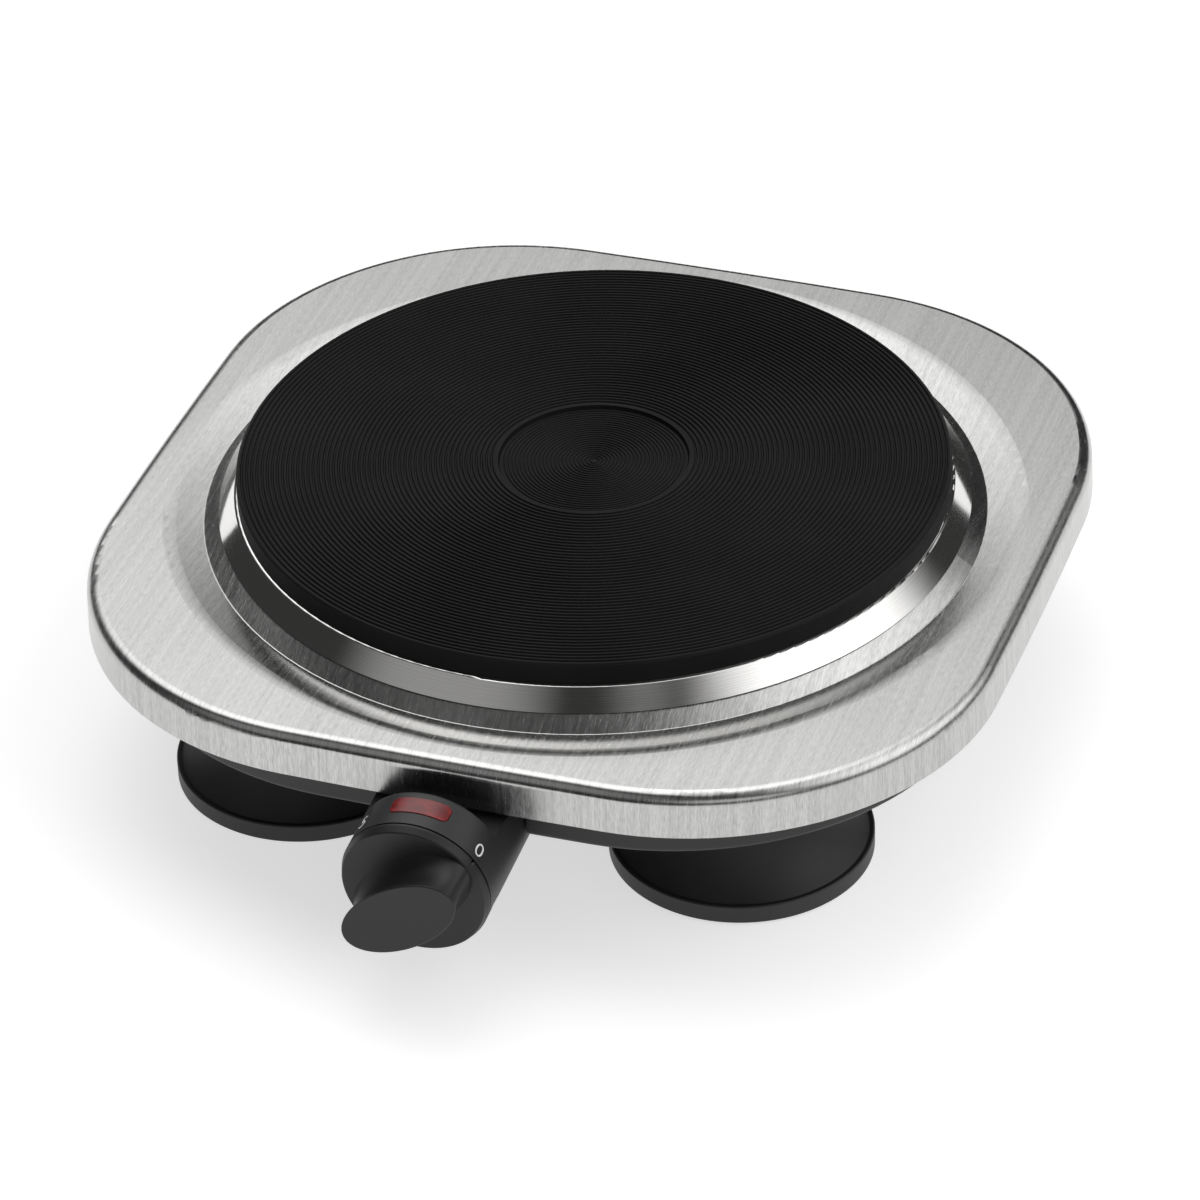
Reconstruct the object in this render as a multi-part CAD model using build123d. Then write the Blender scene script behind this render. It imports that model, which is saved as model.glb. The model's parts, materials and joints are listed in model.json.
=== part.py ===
from build123d import *
import math
import os

# Single-plate electric hot plate: a cast-iron plate in a pressed stainless cover, on a sheet-steel
# base pan with four bell-shaped feet, and a heat control in a plastic drum at the front.
# Everything is built in millimetres round the plate's axis, with z = 0 on the table, +Z up and the
# knob on the -Y side. write_node() then moves it back, so that the origin is in the middle of the
# footprint's box.

# ---- driving dimensions ----
PLATE_AXIS_Y = 15.9            # plate axis, behind the middle of the footprint
TOTAL_HEIGHT = 65.5            # table to the plate's cooking face

PLATE_RADIUS = 90.3            # cast-iron plate, visible side wall
PLATE_SKIRT_RADIUS = 88.4      # plate's rim below the step that sits on the spill ring
PLATE_SIDE_HEIGHT = 5.6        # cooking face down to that step
PLATE_DEPTH = 16.0             # cooking face down to the rim's lower edge
PLATE_THICKNESS = 8.0          # cooking face down to the roof of the coil channels
EDGE_CHAMFER = 0.5
RIM_INNER_RADIUS = 84.0
RECESS_RADIUS = 24.2           # shallow round recess in the middle
RECESS_DEPTH = 1.0
LEDGE_WIDTH = 1.0              # smooth ledge round the recess
GROOVE_PITCH = 1.286
GROOVE_COUNT = 50
GROOVE_DEPTH = 0.40
GROOVE_WIDTH = 0.80            # at the cooking face
GROOVE_FLOOR = 0.34
RECESS_GROOVE_PITCH = 0.98
RECESS_GROOVE_COUNT = 23
RECESS_GROOVE_DEPTH = 0.28
CHANNELS = ((32.5, 46.0), (48.5, 62.0), (64.5, 78.0))   # inner and outer radius of each channel
CHANNEL_WALL = 2.5
CHANNEL_LAND = 1.5             # channel walls stop this far above the rim's lower edge
BOSS_RADIUS = 10.0
STUD_RADIUS = 4.0

COIL_RADIUS = 2.2
COIL_SLOT_RADIUS = 2.5
COIL_BELOW_ROOF = 3.4          # channel roof to the coil's axis
LINK_RADIUS = 1.2
BACK_COVER_THICKNESS = 0.8
TERMINALS = ((-14.0, -53.4), (14.0, -53.4))   # coil ends, under the middle channel
TERMINAL_TAB_DROP = 12.0       # plate's channel walls down to the end of a terminal tab
BRIDGE_Z = 45.6                # underside of the clamp bridge at the middle
BRIDGE_SHEET = 2.0
BRIDGE_HALF_WIDTH = 11.0
BRIDGE_ENDS = (92.5, 97.0, 103.0)   # start of the raised end, its foot and its tip

SHEET = 0.8                    # stainless and steel sheet
RING_SHEET = 0.6
RING_OUTER_RADIUS = 95.3       # drip edge of the spill ring
RING_DROP = 5.3                # height of its sloping flange
RING_BAND = 7.5                # height of the band inside it

HALF_WIDTH = 113.7             # plate axis to the edge of the cover's flat top
SIDE_RADIUS = 2280.0           # each side bulges slightly
CORNER_RADIUS = 73.9
FLAT_TOP_Z = TOTAL_HEIGHT - 13.1
TROUGH_DEPTH = 1.25            # shallow trough that slopes down to the crease round the collar
TROUGH_START_RADIUS = 111.0
TROUGH_OUTER_RADIUS = 108.0
TROUGH_BEND = 25.0             # large bend radius where the flat top turns down
COLLAR_CREASE_RADIUS = 99.2
COVER_EDGE_RADIUS = 3.4
SKIRT_BOTTOM_Z = 40.7
SKIRT_TAPER = 1.6              # degrees, widening downwards

BASE_INSET = 3.8               # base pan's wall, inside the edge of the flat top
BASE_CORNER_RADIUS = 76.0      # rounder than the cover's, so the pan draws in at the corners
BASE_BOTTOM_Z = 29.5
BASE_WALL_TOP_Z = 46.0
BASE_EDGE_RADIUS = 1.5
PAN_HALF_WIDTH = HALF_WIDTH - BASE_INSET
VENT_LENGTH = 34.0
VENT_WIDTH = 3.0
VENT_PITCH = 8.0
VENT_ROWS = 3                  # on each side of the middle row
BRACKET_SPREAD = 82.4          # cover brackets, from each middle plane
BRACKET_SHEET = 1.2
HOUSING_SCREWS = [(-23.5, -90.0), (23.5, -90.0)]
SHIELD_RADIUS = 74.0
SHIELD_Z = 37.6
SHIELD_SHEET = 0.5
SPACER_CENTRES = [(0.0, 66.0), (-66.0, 0.0), (66.0, 0.0), (0.0, -62.0)]

FOOT_SPREAD = (57.5, 61.1)     # foot axes in x and y from the plate axis
FOOT_RADIUS = 33.0
FOOT_RIM_HEIGHT = 5.6
FOOT_NECK_RADIUS = 19.0
FOOT_WALL = 2.2
FOOT_HOLLOW_RADIUS = 25.4
PAD_PROUD = 0.5                # rubber pad stands this far below the foot
PAD_GROOVE_TOP = 2.6
PAD_GROOVE_RADII = (26.8, 31.2)

DRUM_RADIUS = 18.72            # control housing
DRUM_TILT = 4.63               # degrees, the drum's axis points slightly down
DRUM_FRONT_Y = -134.6          # centre of its front rim
DRUM_FRONT_Z = 29.3
DRUM_WALL = 2.2
DRUM_DEPTH = 12.0              # length of the full-round front part
NECK_LENGTH = 62.0             # whole length with the half-round tub under the base pan
NECK_TOP_Z = SKIRT_BOTTOM_Z - 1.5
FRONT_WALL = 3.0

DIAL_START = 54.5              # knob's off position, degrees clockwise from the top, seen from the front
KNOB_GAP = 0.5
KNOB_RIM_RADIUS = 18.0
KNOB_RIM_HEIGHT = 2.6
KNOB_FACE_HEIGHT = 13.6
WING_LENGTH = 17.25            # half axes of the wing's flat face
WING_WIDTH = 9.05
WING_WAIST = 7.1
WING_ROOT_LENGTH = 17.7
WING_ROOT_WIDTH = 10.1
SHAFT_RADIUS = 3.0
SHAFT_FLAT = 2.2               # shaft axis to its flat
RUNNING_CLEARANCE = 0.05
KNOB_HOLLOW_RADIUS = 9.0       # clears the bushing nut
CLIP_SPACE = 0.7               # room for the spring clip beside the shaft's flat
BUSHING_RADIUS = 4.5
THERMOSTAT_FRONT = -9.2        # along the drum's axis, from its front rim
THERMOSTAT_DEPTH = 15.0
BLADE_REACH = 8.2              # terminal blades, behind the thermostat's back

LENS_ANGLE = 46.0              # degrees round the drum
LENS_START = 3.9               # behind the drum's front rim
LENS_END = 9.1
LENS_CORNER = 1.5

GLAND_AT = (36.0, 92.0)
CORD_RADIUS = 3.7
SCREW_RADIUS = 1.7
EARTH_AT = (60.0, 84.0)
BLOCK_AT = (0.0, 98.0)         # terminal block
BLOCK_PITCH = 9.0              # from one way of the block to the next
CUTOUT_AT = (0.0, 40.0)
LEAD_RADIUS = 1.2
LEAD_Z = 41.0                  # height of the leads' long runs

FAR = 99.0                     # beyond every part, for cuts that go right through
QUARTERS = ((-1, -1), (1, -1), (-1, 1), (1, 1))
FOOT_CENTRES = [(sx * FOOT_SPREAD[0], sy * FOOT_SPREAD[1]) for sx, sy in QUARTERS]
BRACKET_CENTRES = [(sx * BRACKET_SPREAD, sy * BRACKET_SPREAD) for sx, sy in QUARTERS]


# ---- shared helpers ----
def write_node(name, shape):
    """Write one node, moved so that the origin is in the middle of the footprint."""
    export_step(Pos(0, PLATE_AXIS_Y, 0) * shape, f"parts/{name}.step")


def group(shapes):
    """Separate solids that share one node."""
    return Compound([solid for shape in shapes for solid in shape.solids()])


def disc(radius, z_low, z_high, x=0.0, y=0.0):
    """Upright cylinder between two heights."""
    height = z_high - z_low
    return Pos(x, y, z_low) * Cylinder(radius, height, align=(Align.CENTER, Align.CENTER, Align.MIN))


def block(x_range, y_range, z_range):
    """Box from its ranges."""
    size = [high - low for low, high in (x_range, y_range, z_range)]
    middle = [(low + high) / 2 for low, high in (x_range, y_range, z_range)]
    return Pos(*middle) * Box(*size)


def turned(points):
    """Solid of revolution about the z axis from a closed (r, z) outline."""
    return revolve(Plane.XZ * make_face(Polyline(*points, close=True)), Axis.Z)


def turned_sheet(points, radii, thickness, side=Side.LEFT):
    """Sheet of revolution from one face's (r, z) line, with a bend radius at each inner point."""
    line = FilletPolyline(*points, radius=radii)
    return revolve(Plane.XZ * make_face(offset(line, thickness, side=side, closed=True).edges()), Axis.Z)


def rounded_square(half_width, corner_radius):
    """Rounded square with slightly bulged sides."""
    centre = corner_centre(half_width, corner_radius)
    side_centre = half_width - SIDE_RADIUS
    turn = math.atan2(centre, centre - side_centre)
    joint = (SIDE_RADIUS * math.sin(turn), side_centre + SIDE_RADIUS * math.cos(turn))
    tip = centre + corner_radius / math.sqrt(2)
    bulge = ThreePointArc((-joint[0], joint[1]), (0, half_width), joint)
    corner = ThreePointArc(joint, (tip, tip), (joint[1], joint[0]))
    arcs = [arc.rotate(Axis.Z, -90 * i) for i in range(4) for arc in (bulge, corner)]
    return make_face(Wire(arcs))


def body_outline(outset):
    """Outline of the cover, outset from the edge of its flat top."""
    return rounded_square(HALF_WIDTH + outset, CORNER_RADIUS + outset)


def pan_outline(inset):
    """Outline of the base pan's wall, inset from its outer face."""
    return rounded_square(PAN_HALF_WIDTH - inset, BASE_CORNER_RADIUS - inset)


def corner_centre(half_width, corner_radius):
    """Distance of a corner arc's centre from each middle plane, so that it is tangent to the sides."""
    reach = SIDE_RADIUS - half_width
    gap = SIDE_RADIUS - corner_radius
    return (-reach + math.sqrt(2 * gap * gap - reach * reach)) / 2


def tube(points, radii, radius):
    """Round wire along straight runs joined by tangent arcs."""
    path = FilletPolyline(*points, radius=radii)
    return sweep((path ^ 0) * Circle(radius), path)


# The drum's own frame: local z runs out of the front along its axis, local y is up, local x is right.
DRUM = Plane(
    origin=(0, DRUM_FRONT_Y, DRUM_FRONT_Z),
    x_dir=(1, 0, 0),
    z_dir=(0, -math.cos(math.radians(DRUM_TILT)), -math.sin(math.radians(DRUM_TILT))),
)


def on_drum(shape):
    """Place a shape that is drawn in the drum's own frame."""
    return DRUM * shape


def drum_rod(radius, s_low, s_high, x=0.0, y=0.0):
    """Cylinder along the drum's axis, in its own frame."""
    height = s_high - s_low
    return Pos(x, y, s_low) * Cylinder(radius, height, align=(Align.CENTER, Align.CENTER, Align.MIN))


# ---- plate and heater ----
def groove_points(first_radius, pitch, count, top, depth):
    """(r, z) points of a row of concentric grooves, from the inside outwards."""
    points = []
    for i in range(count):
        middle = first_radius + pitch * (i + 0.5)
        mouth = GROOVE_WIDTH * pitch / GROOVE_PITCH / 2
        floor = GROOVE_FLOOR * pitch / GROOVE_PITCH / 2
        points += [(middle - mouth, top), (middle - floor, top - depth)]
        points += [(middle + floor, top - depth), (middle + mouth, top)]
    return points


def hotplate_casting():
    top = TOTAL_HEIGHT
    recess = top - RECESS_DEPTH
    step = top - PLATE_SIDE_HEIGHT
    rim = top - PLATE_DEPTH
    roof = top - PLATE_THICKNESS
    inner_grooves = groove_points(0.7, RECESS_GROOVE_PITCH, RECESS_GROOVE_COUNT, recess, RECESS_GROOVE_DEPTH)
    first = RECESS_RADIUS + LEDGE_WIDTH
    outer_grooves = groove_points(first, GROOVE_PITCH, GROOVE_COUNT, top, GROOVE_DEPTH)
    points = [(0, recess)] + inner_grooves
    points += [(RECESS_RADIUS - 0.4, recess), (RECESS_RADIUS, top)] + outer_grooves
    points += [(PLATE_RADIUS - EDGE_CHAMFER, top), (PLATE_RADIUS, top - EDGE_CHAMFER), (PLATE_RADIUS, step)]
    points += [(PLATE_SKIRT_RADIUS, step), (PLATE_SKIRT_RADIUS, rim), (RIM_INNER_RADIUS, rim)]
    land = rim + CHANNEL_LAND
    points += [(RIM_INNER_RADIUS, roof)]
    for inner, outer in reversed(CHANNELS):
        wall = outer + CHANNEL_WALL
        points += [(wall, roof), (wall, land), (outer, land), (outer, roof), (inner, roof)]
    inner = CHANNELS[0][0]
    points += [(inner, land), (inner - CHANNEL_WALL, land), (inner - CHANNEL_WALL, roof)]
    points += [(BOSS_RADIUS, roof), (BOSS_RADIUS, rim), (0, rim)]
    return turned(clean(points)) - disc(STUD_RADIUS, rim - 1, roof + 2) - link_slot()


def clean(points):
    """Drop repeated neighbours from an outline."""
    return [p for i, p in enumerate(points) if i == 0 or math.dist(p, points[i - 1]) > 1e-6]


def channel_middle(channel):
    return (channel[0] + channel[1]) / 2


def coil_z():
    return TOTAL_HEIGHT - PLATE_THICKNESS - COIL_BELOW_ROOF


def ring_torus(radius, section):
    """Ring of round section in the coil's plane, its seam on top."""
    circle = Pos(radius, coil_z()) * Rot(0, 0, 90) * Circle(section)
    return revolve(Plane.XZ * circle, Axis.Z)


def coil_link(radius):
    """Straight link between the turns, across the channel walls."""
    first, last = channel_middle(CHANNELS[0]), channel_middle(CHANNELS[-1])
    return Pos(0, (first + last) / 2, coil_z()) * Rot(90, 0, 0) * Cylinder(radius, last - first)


def heating_coil():
    """Three turns of coil, one in each channel, joined by a link."""
    coil = coil_link(LINK_RADIUS)
    for channel in CHANNELS:
        coil += ring_torus(channel_middle(channel), COIL_RADIUS)
    return coil


def link_slot():
    """Notch for the coil's link, open downwards."""
    half = LINK_RADIUS + 0.4
    land = TOTAL_HEIGHT - PLATE_DEPTH
    first, last = channel_middle(CHANNELS[0]), channel_middle(CHANNELS[-1])
    return block((-half, half), (first, last), (land, coil_z() + half))


def insulating_bed():
    """Ceramic bed pressed into each channel, with a slot for the coil, open downwards."""
    beds = []
    roof = TOTAL_HEIGHT - PLATE_THICKNESS
    land = TOTAL_HEIGHT - PLATE_DEPTH + CHANNEL_LAND
    for channel in CHANNELS:
        inner, outer = channel
        bed = disc(outer - 0.1, land + 0.1, roof - 0.1) - disc(inner + 0.1, land, roof)
        middle = channel_middle(channel)
        slot = disc(middle + COIL_SLOT_RADIUS, land, coil_z())
        slot -= disc(middle - COIL_SLOT_RADIUS, land, coil_z())
        bed -= slot + ring_torus(middle, COIL_SLOT_RADIUS)
        beds.append(bed - link_slot())
    return group(beds)


def plate_back_cover():
    top = TOTAL_HEIGHT - PLATE_DEPTH + CHANNEL_LAND - 0.05
    cover = disc(RIM_INNER_RADIUS - 0.2, top - BACK_COVER_THICKNESS, top) - disc(BOSS_RADIUS + 0.3, 0, FAR)
    for x, y in TERMINALS:
        cover -= disc(3.1, 0, FAR, x, y)
    return cover


def terminal_bushings():
    """Ceramic bushings that carry the coil's ends through the back cover."""
    top = TOTAL_HEIGHT - PLATE_DEPTH + CHANNEL_LAND
    bushings = []
    for x, y in TERMINALS:
        bushing = disc(3.0, top - 4, top, x, y) + disc(4.2, top - 4, top - 0.9, x, y)
        bushings.append(bushing - disc(1.3, 0, FAR, x, y))
    return group(bushings)


def coil_terminals():
    """Terminal pins with a flat tab, in the ceramic bushings."""
    top = TOTAL_HEIGHT - PLATE_DEPTH + CHANNEL_LAND
    pins = []
    for x, y in TERMINALS:
        tab = block((x - 0.4, x + 0.4), (y - 3, y + 3), (top - TERMINAL_TAB_DROP, top - 5.5))
        pins.append(disc(1.25, top - 7, coil_z() - COIL_RADIUS - 0.1, x, y) + tab)
    return group(pins)


def centre_stud():
    return disc(STUD_RADIUS - 0.1, BRIDGE_Z - 10.5, TOTAL_HEIGHT - PLATE_THICKNESS + 1.8)


def clamp_bridge():
    """Steel strap under the plate, whose raised ends bear on the cover's trough."""
    end_z = FLAT_TOP_Z - TROUGH_DEPTH - SHEET - 0.05
    middle_z = BRIDGE_Z + BRIDGE_SHEET
    start, foot, tip = BRIDGE_ENDS
    points = [(tip, end_z), (foot, end_z), (start, middle_z)]
    points += [(-start, middle_z), (-foot, end_z), (-tip, end_z)]
    line = FilletPolyline(*points, radius=2.5)
    face = make_face(offset(line, BRIDGE_SHEET, side=Side.LEFT, closed=True).edges())
    strap = extrude(Plane.XZ * face, BRIDGE_HALF_WIDTH, both=True)
    return strap - disc(STUD_RADIUS + 0.3, 0, FAR)


def clamp_washer():
    return disc(8.5, BRIDGE_Z - 1.6, BRIDGE_Z) - disc(STUD_RADIUS + 0.2, 0, FAR)


def hex_nut(across_flats, height, bore):
    nut = extrude(RegularPolygon(across_flats / 2, 6, major_radius=False), height)
    return nut - Pos(0, 0, -1) * Cylinder(bore, height + 2, align=(Align.CENTER, Align.CENTER, Align.MIN))


def clamp_nut():
    return Pos(0, 0, BRIDGE_Z - 8.1) * hex_nut(13.0, 6.5, STUD_RADIUS - 0.05)


# ---- cover and base ----
def spill_ring():
    """Overflow ring: a band that grips the plate's rim, and a sloping flange with a drip edge."""
    top = TOTAL_HEIGHT - PLATE_SIDE_HEIGHT - 0.05
    inner = PLATE_SKIRT_RADIUS + 0.05
    points = [(RING_OUTER_RADIUS, top - RING_DROP), (PLATE_RADIUS + 0.5, top)]
    points += [(inner, top), (inner, top - RING_BAND)]
    return turned_sheet(points, [1.1, 0.9], RING_SHEET, Side.LEFT)


def body_cover():
    """Pressed cover: flat top, trough and collar round the plate, rounded edge and flared skirt."""
    drop = FLAT_TOP_Z - SKIRT_BOTTOM_Z
    outer = Pos(0, 0, FLAT_TOP_Z) * extrude(body_outline(COVER_EDGE_RADIUS), -drop, taper=-SKIRT_TAPER)
    inner_drop = drop - SHEET
    inner_face = body_outline(COVER_EDGE_RADIUS - SHEET)
    inner = Pos(0, 0, FLAT_TOP_Z - SHEET) * extrude(inner_face, -inner_drop - 1, taper=-SKIRT_TAPER)
    outer = fillet(outer.edges().group_by(Axis.Z)[-1], COVER_EDGE_RADIUS)
    inner = fillet(inner.edges().group_by(Axis.Z)[-1], COVER_EDGE_RADIUS - SHEET)
    shell = outer - inner - disc(TROUGH_START_RADIUS, 0, FAR)
    floor = FLAT_TOP_Z - TROUGH_DEPTH
    ring_top = TOTAL_HEIGHT - PLATE_SIDE_HEIGHT - 0.05
    points = [(TROUGH_START_RADIUS, FLAT_TOP_Z), (TROUGH_OUTER_RADIUS, FLAT_TOP_Z)]
    points += [(COLLAR_CREASE_RADIUS, floor), (RING_OUTER_RADIUS - 0.9, ring_top - RING_DROP - 0.2)]
    points += [(PLATE_RADIUS + 0.35, ring_top - 1.1)]
    trough = turned_sheet(points, [TROUGH_BEND, 0.5, 1.2], SHEET, Side.LEFT)
    return shell + trough


def base_pan():
    """Black pan with a rounded lower edge, vent slots and an opening for the control housing."""
    height = BASE_WALL_TOP_Z - BASE_BOTTOM_Z
    outer = Pos(0, 0, BASE_BOTTOM_Z) * extrude(pan_outline(0), height)
    outer = fillet(outer.edges().group_by(Axis.Z)[0], BASE_EDGE_RADIUS)
    inner = Pos(0, 0, BASE_BOTTOM_Z + SHEET) * extrude(pan_outline(SHEET), height)
    inner = fillet(inner.edges().group_by(Axis.Z)[0], BASE_EDGE_RADIUS - SHEET)
    pan = outer - inner
    half = DRUM_RADIUS + 0.4
    front = (-PAN_HALF_WIDTH - 3.5, -PAN_HALF_WIDTH + 4.5)
    pan -= block((-half, half), front, (BASE_BOTTOM_Z - 1, NECK_TOP_Z + 0.4))
    pan -= block((-15.5, 15.5), (-PAN_HALF_WIDTH + 3.5, -76), (BASE_BOTTOM_Z - 1, BASE_BOTTOM_Z + 2))
    for x, y in FOOT_CENTRES:
        pan -= disc(2.2, 0, BASE_BOTTOM_Z + 2, x, y)
    for x, y in BRACKET_CENTRES + HOUSING_SCREWS:
        pan -= disc(1.9, 0, BASE_BOTTOM_Z + 2, x, y)
    pan -= disc(5.3, 0, BASE_BOTTOM_Z + 2, *GLAND_AT)
    pan -= disc(1.7, 0, BASE_BOTTOM_Z + 2, *EARTH_AT)
    slot = extrude(SlotOverall(VENT_LENGTH, VENT_WIDTH), 4)
    for row in range(-VENT_ROWS, VENT_ROWS + 1):
        for x in (-VENT_LENGTH * 0.62, VENT_LENGTH * 0.62):
            pan -= Pos(x, row * VENT_PITCH, BASE_BOTTOM_Z - 1) * slot
    return pan


def toward_centre(x, y):
    """Angle in degrees of the direction from a point to the plate axis."""
    return math.degrees(math.atan2(-y, -x))


def cover_brackets():
    """Tabs welded under the cover's corners, that take the base screws."""
    brackets = []
    top = FLAT_TOP_Z - SHEET - 0.02
    low = BASE_BOTTOM_Z + SHEET + 0.1
    for x, y in BRACKET_CENTRES:
        post = block((6 - BRACKET_SHEET, 6), (-6, 6), (low, top))
        foot = block((-4, 6), (-6, 6), (low, low + BRACKET_SHEET))
        foot -= disc(SCREW_RADIUS + 0.1, low - 1, low + 3)
        head = block((-4, 6), (-6, 6), (top - BRACKET_SHEET, top))
        brackets.append(Pos(x, y, 0) * Rot(0, 0, toward_centre(x, y)) * (post + foot + head))
    return group(brackets)


def screw(shank, length, head, head_height):
    """Pan-head screw with a cross recess: head below z = 0, shank up from it."""
    body = disc(shank, 0, length) + fillet(disc(head, -head_height, 0).edges().group_by(Axis.Z)[0], 0.8)
    depth = head_height * 0.55
    cross = block((-head * 0.6, head * 0.6), (-0.4, 0.4), (-head_height, -head_height + depth))
    return body - cross - Rot(0, 0, 90) * cross


def base_screws():
    low = BASE_BOTTOM_Z - 0.02
    return group(Pos(x, y, low) * screw(SCREW_RADIUS, 6.0, 3.4, 2.0) for x, y in BRACKET_CENTRES)


def heat_shield():
    """Bright steel disc that keeps the plate's heat off the base pan."""
    shield = disc(SHIELD_RADIUS, SHIELD_Z, SHIELD_Z + SHIELD_SHEET) - disc(14.0, 0, FAR)
    for x, y in FOOT_CENTRES:
        shield -= disc(6.5, 0, FAR, x, y)
    for angle in range(0, 360, 45):
        shield -= Rot(0, 0, angle) * Pos(42, 0, SHIELD_Z - 1) * extrude(SlotOverall(24, 5), 3)
    for x, y in SPACER_CENTRES:
        shield -= disc(SCREW_RADIUS, 0, FAR, x, y)
    return shield


def shield_spacers():
    """Turned pillars that stand the shield off the base pan, each riveted over the shield."""
    low = BASE_BOTTOM_Z + SHEET + 0.02
    pillars = []
    for x, y in SPACER_CENTRES:
        pillar = disc(3.0, low, SHIELD_Z - 0.02, x, y) + disc(SCREW_RADIUS - 0.1, low, SHIELD_Z + 1, x, y)
        shield_top = SHIELD_Z + SHIELD_SHEET
        pillars.append(pillar + disc(2.6, shield_top + 0.05, shield_top + 1.0, x, y))
    return group(pillars)


# ---- feet ----
def foot_shell():
    """Bell-shaped foot: upright rim, hollow flared body, flat top and a screw boss inside."""
    top = BASE_BOTTOM_Z - 0.05
    rim_in = FOOT_RADIUS - 0.5
    flare = ThreePointArc((FOOT_RADIUS - 1.3, FOOT_RIM_HEIGHT), (23.6, 14.5), (FOOT_NECK_RADIUS, top - 1.0))
    outside = [
        Line((0, PAD_PROUD), (rim_in, PAD_PROUD)),
        Line((rim_in, PAD_PROUD), (FOOT_RADIUS, PAD_PROUD + 0.5)),
        Line((FOOT_RADIUS, PAD_PROUD + 0.5), (FOOT_RADIUS, FOOT_RIM_HEIGHT - 0.3)),
        Line((FOOT_RADIUS, FOOT_RIM_HEIGHT - 0.3), (FOOT_RADIUS - 0.3, FOOT_RIM_HEIGHT)),
        Line((FOOT_RADIUS - 0.3, FOOT_RIM_HEIGHT), (FOOT_RADIUS - 1.3, FOOT_RIM_HEIGHT)),
        flare,
        Line((FOOT_NECK_RADIUS, top - 1.0), (FOOT_NECK_RADIUS - 1.0, top)),
        Line((FOOT_NECK_RADIUS - 1.0, top), (0, top)),
        Line((0, top), (0, PAD_PROUD)),
    ]
    body = revolve(Plane.XZ * make_face(outside), Axis.Z)
    roof = top - FOOT_WALL - 0.6
    neck = FOOT_NECK_RADIUS - FOOT_WALL
    hollow_arc = ThreePointArc((FOOT_HOLLOW_RADIUS, FOOT_RIM_HEIGHT), (21.0, 14.0), (neck, roof))
    hollow = [
        Line((0, 0), (FOOT_HOLLOW_RADIUS, 0)),
        Line((FOOT_HOLLOW_RADIUS, 0), (FOOT_HOLLOW_RADIUS, FOOT_RIM_HEIGHT)),
        hollow_arc,
        Line((neck, roof), (0, roof)),
        Line((0, roof), (0, 0)),
    ]
    body -= revolve(Plane.XZ * make_face(hollow), Axis.Z)
    boss = disc(6.5, roof - 8, roof + 0.5)
    for angle in (0, 60, 120):
        boss += Rot(0, 0, angle) * block((-neck, neck), (-0.9, 0.9), (roof - 5, roof + 0.5))
    body += boss
    body -= disc(2.2, 0, top + 1)
    inner, outer = PAD_GROOVE_RADII
    body -= disc(outer, 0, PAD_GROOVE_TOP) - disc(inner, 0, PAD_GROOVE_TOP)
    return body


def foot_pad():
    """Rubber ring in the groove under a foot's rim."""
    inner, outer = PAD_GROOVE_RADII
    pad = disc(outer - 0.1, 0, PAD_GROOVE_TOP - 0.05) - disc(inner + 0.1, -1, PAD_GROOVE_TOP)
    return chamfer(pad.edges().group_by(Axis.Z)[0], 0.3)


def foot_screws():
    """Long screws from inside each foot's boss up through the base pan."""
    seat = BASE_BOTTOM_Z - 0.05 - FOOT_WALL - 8.6
    length = BASE_BOTTOM_Z + SHEET + 5.5 - seat
    return group(Pos(x, y, seat - 0.02) * screw(2.0, length, 4.2, 2.6) for x, y in FOOT_CENTRES)


def foot_nuts():
    z = BASE_BOTTOM_Z + SHEET + 0.02
    return group(Pos(x, y, z) * hex_nut(7.0, 3.2, 2.05) for x, y in FOOT_CENTRES)


# ---- control housing ----
def lens_plan(grow):
    """Rounded window in the drum's top, in the drum's frame: a prism that reaches up through the wall."""
    half = DRUM_RADIUS * math.sin(math.radians(LENS_ANGLE / 2)) + grow
    low, high = -LENS_END - grow, -LENS_START + grow
    plan = Pos(0, (low + high) / 2) * RectangleRounded(2 * half, high - low, LENS_CORNER + grow)
    return Rot(-90, 0, 0) * extrude(mirror(plan, Plane.XZ), 30)


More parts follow.
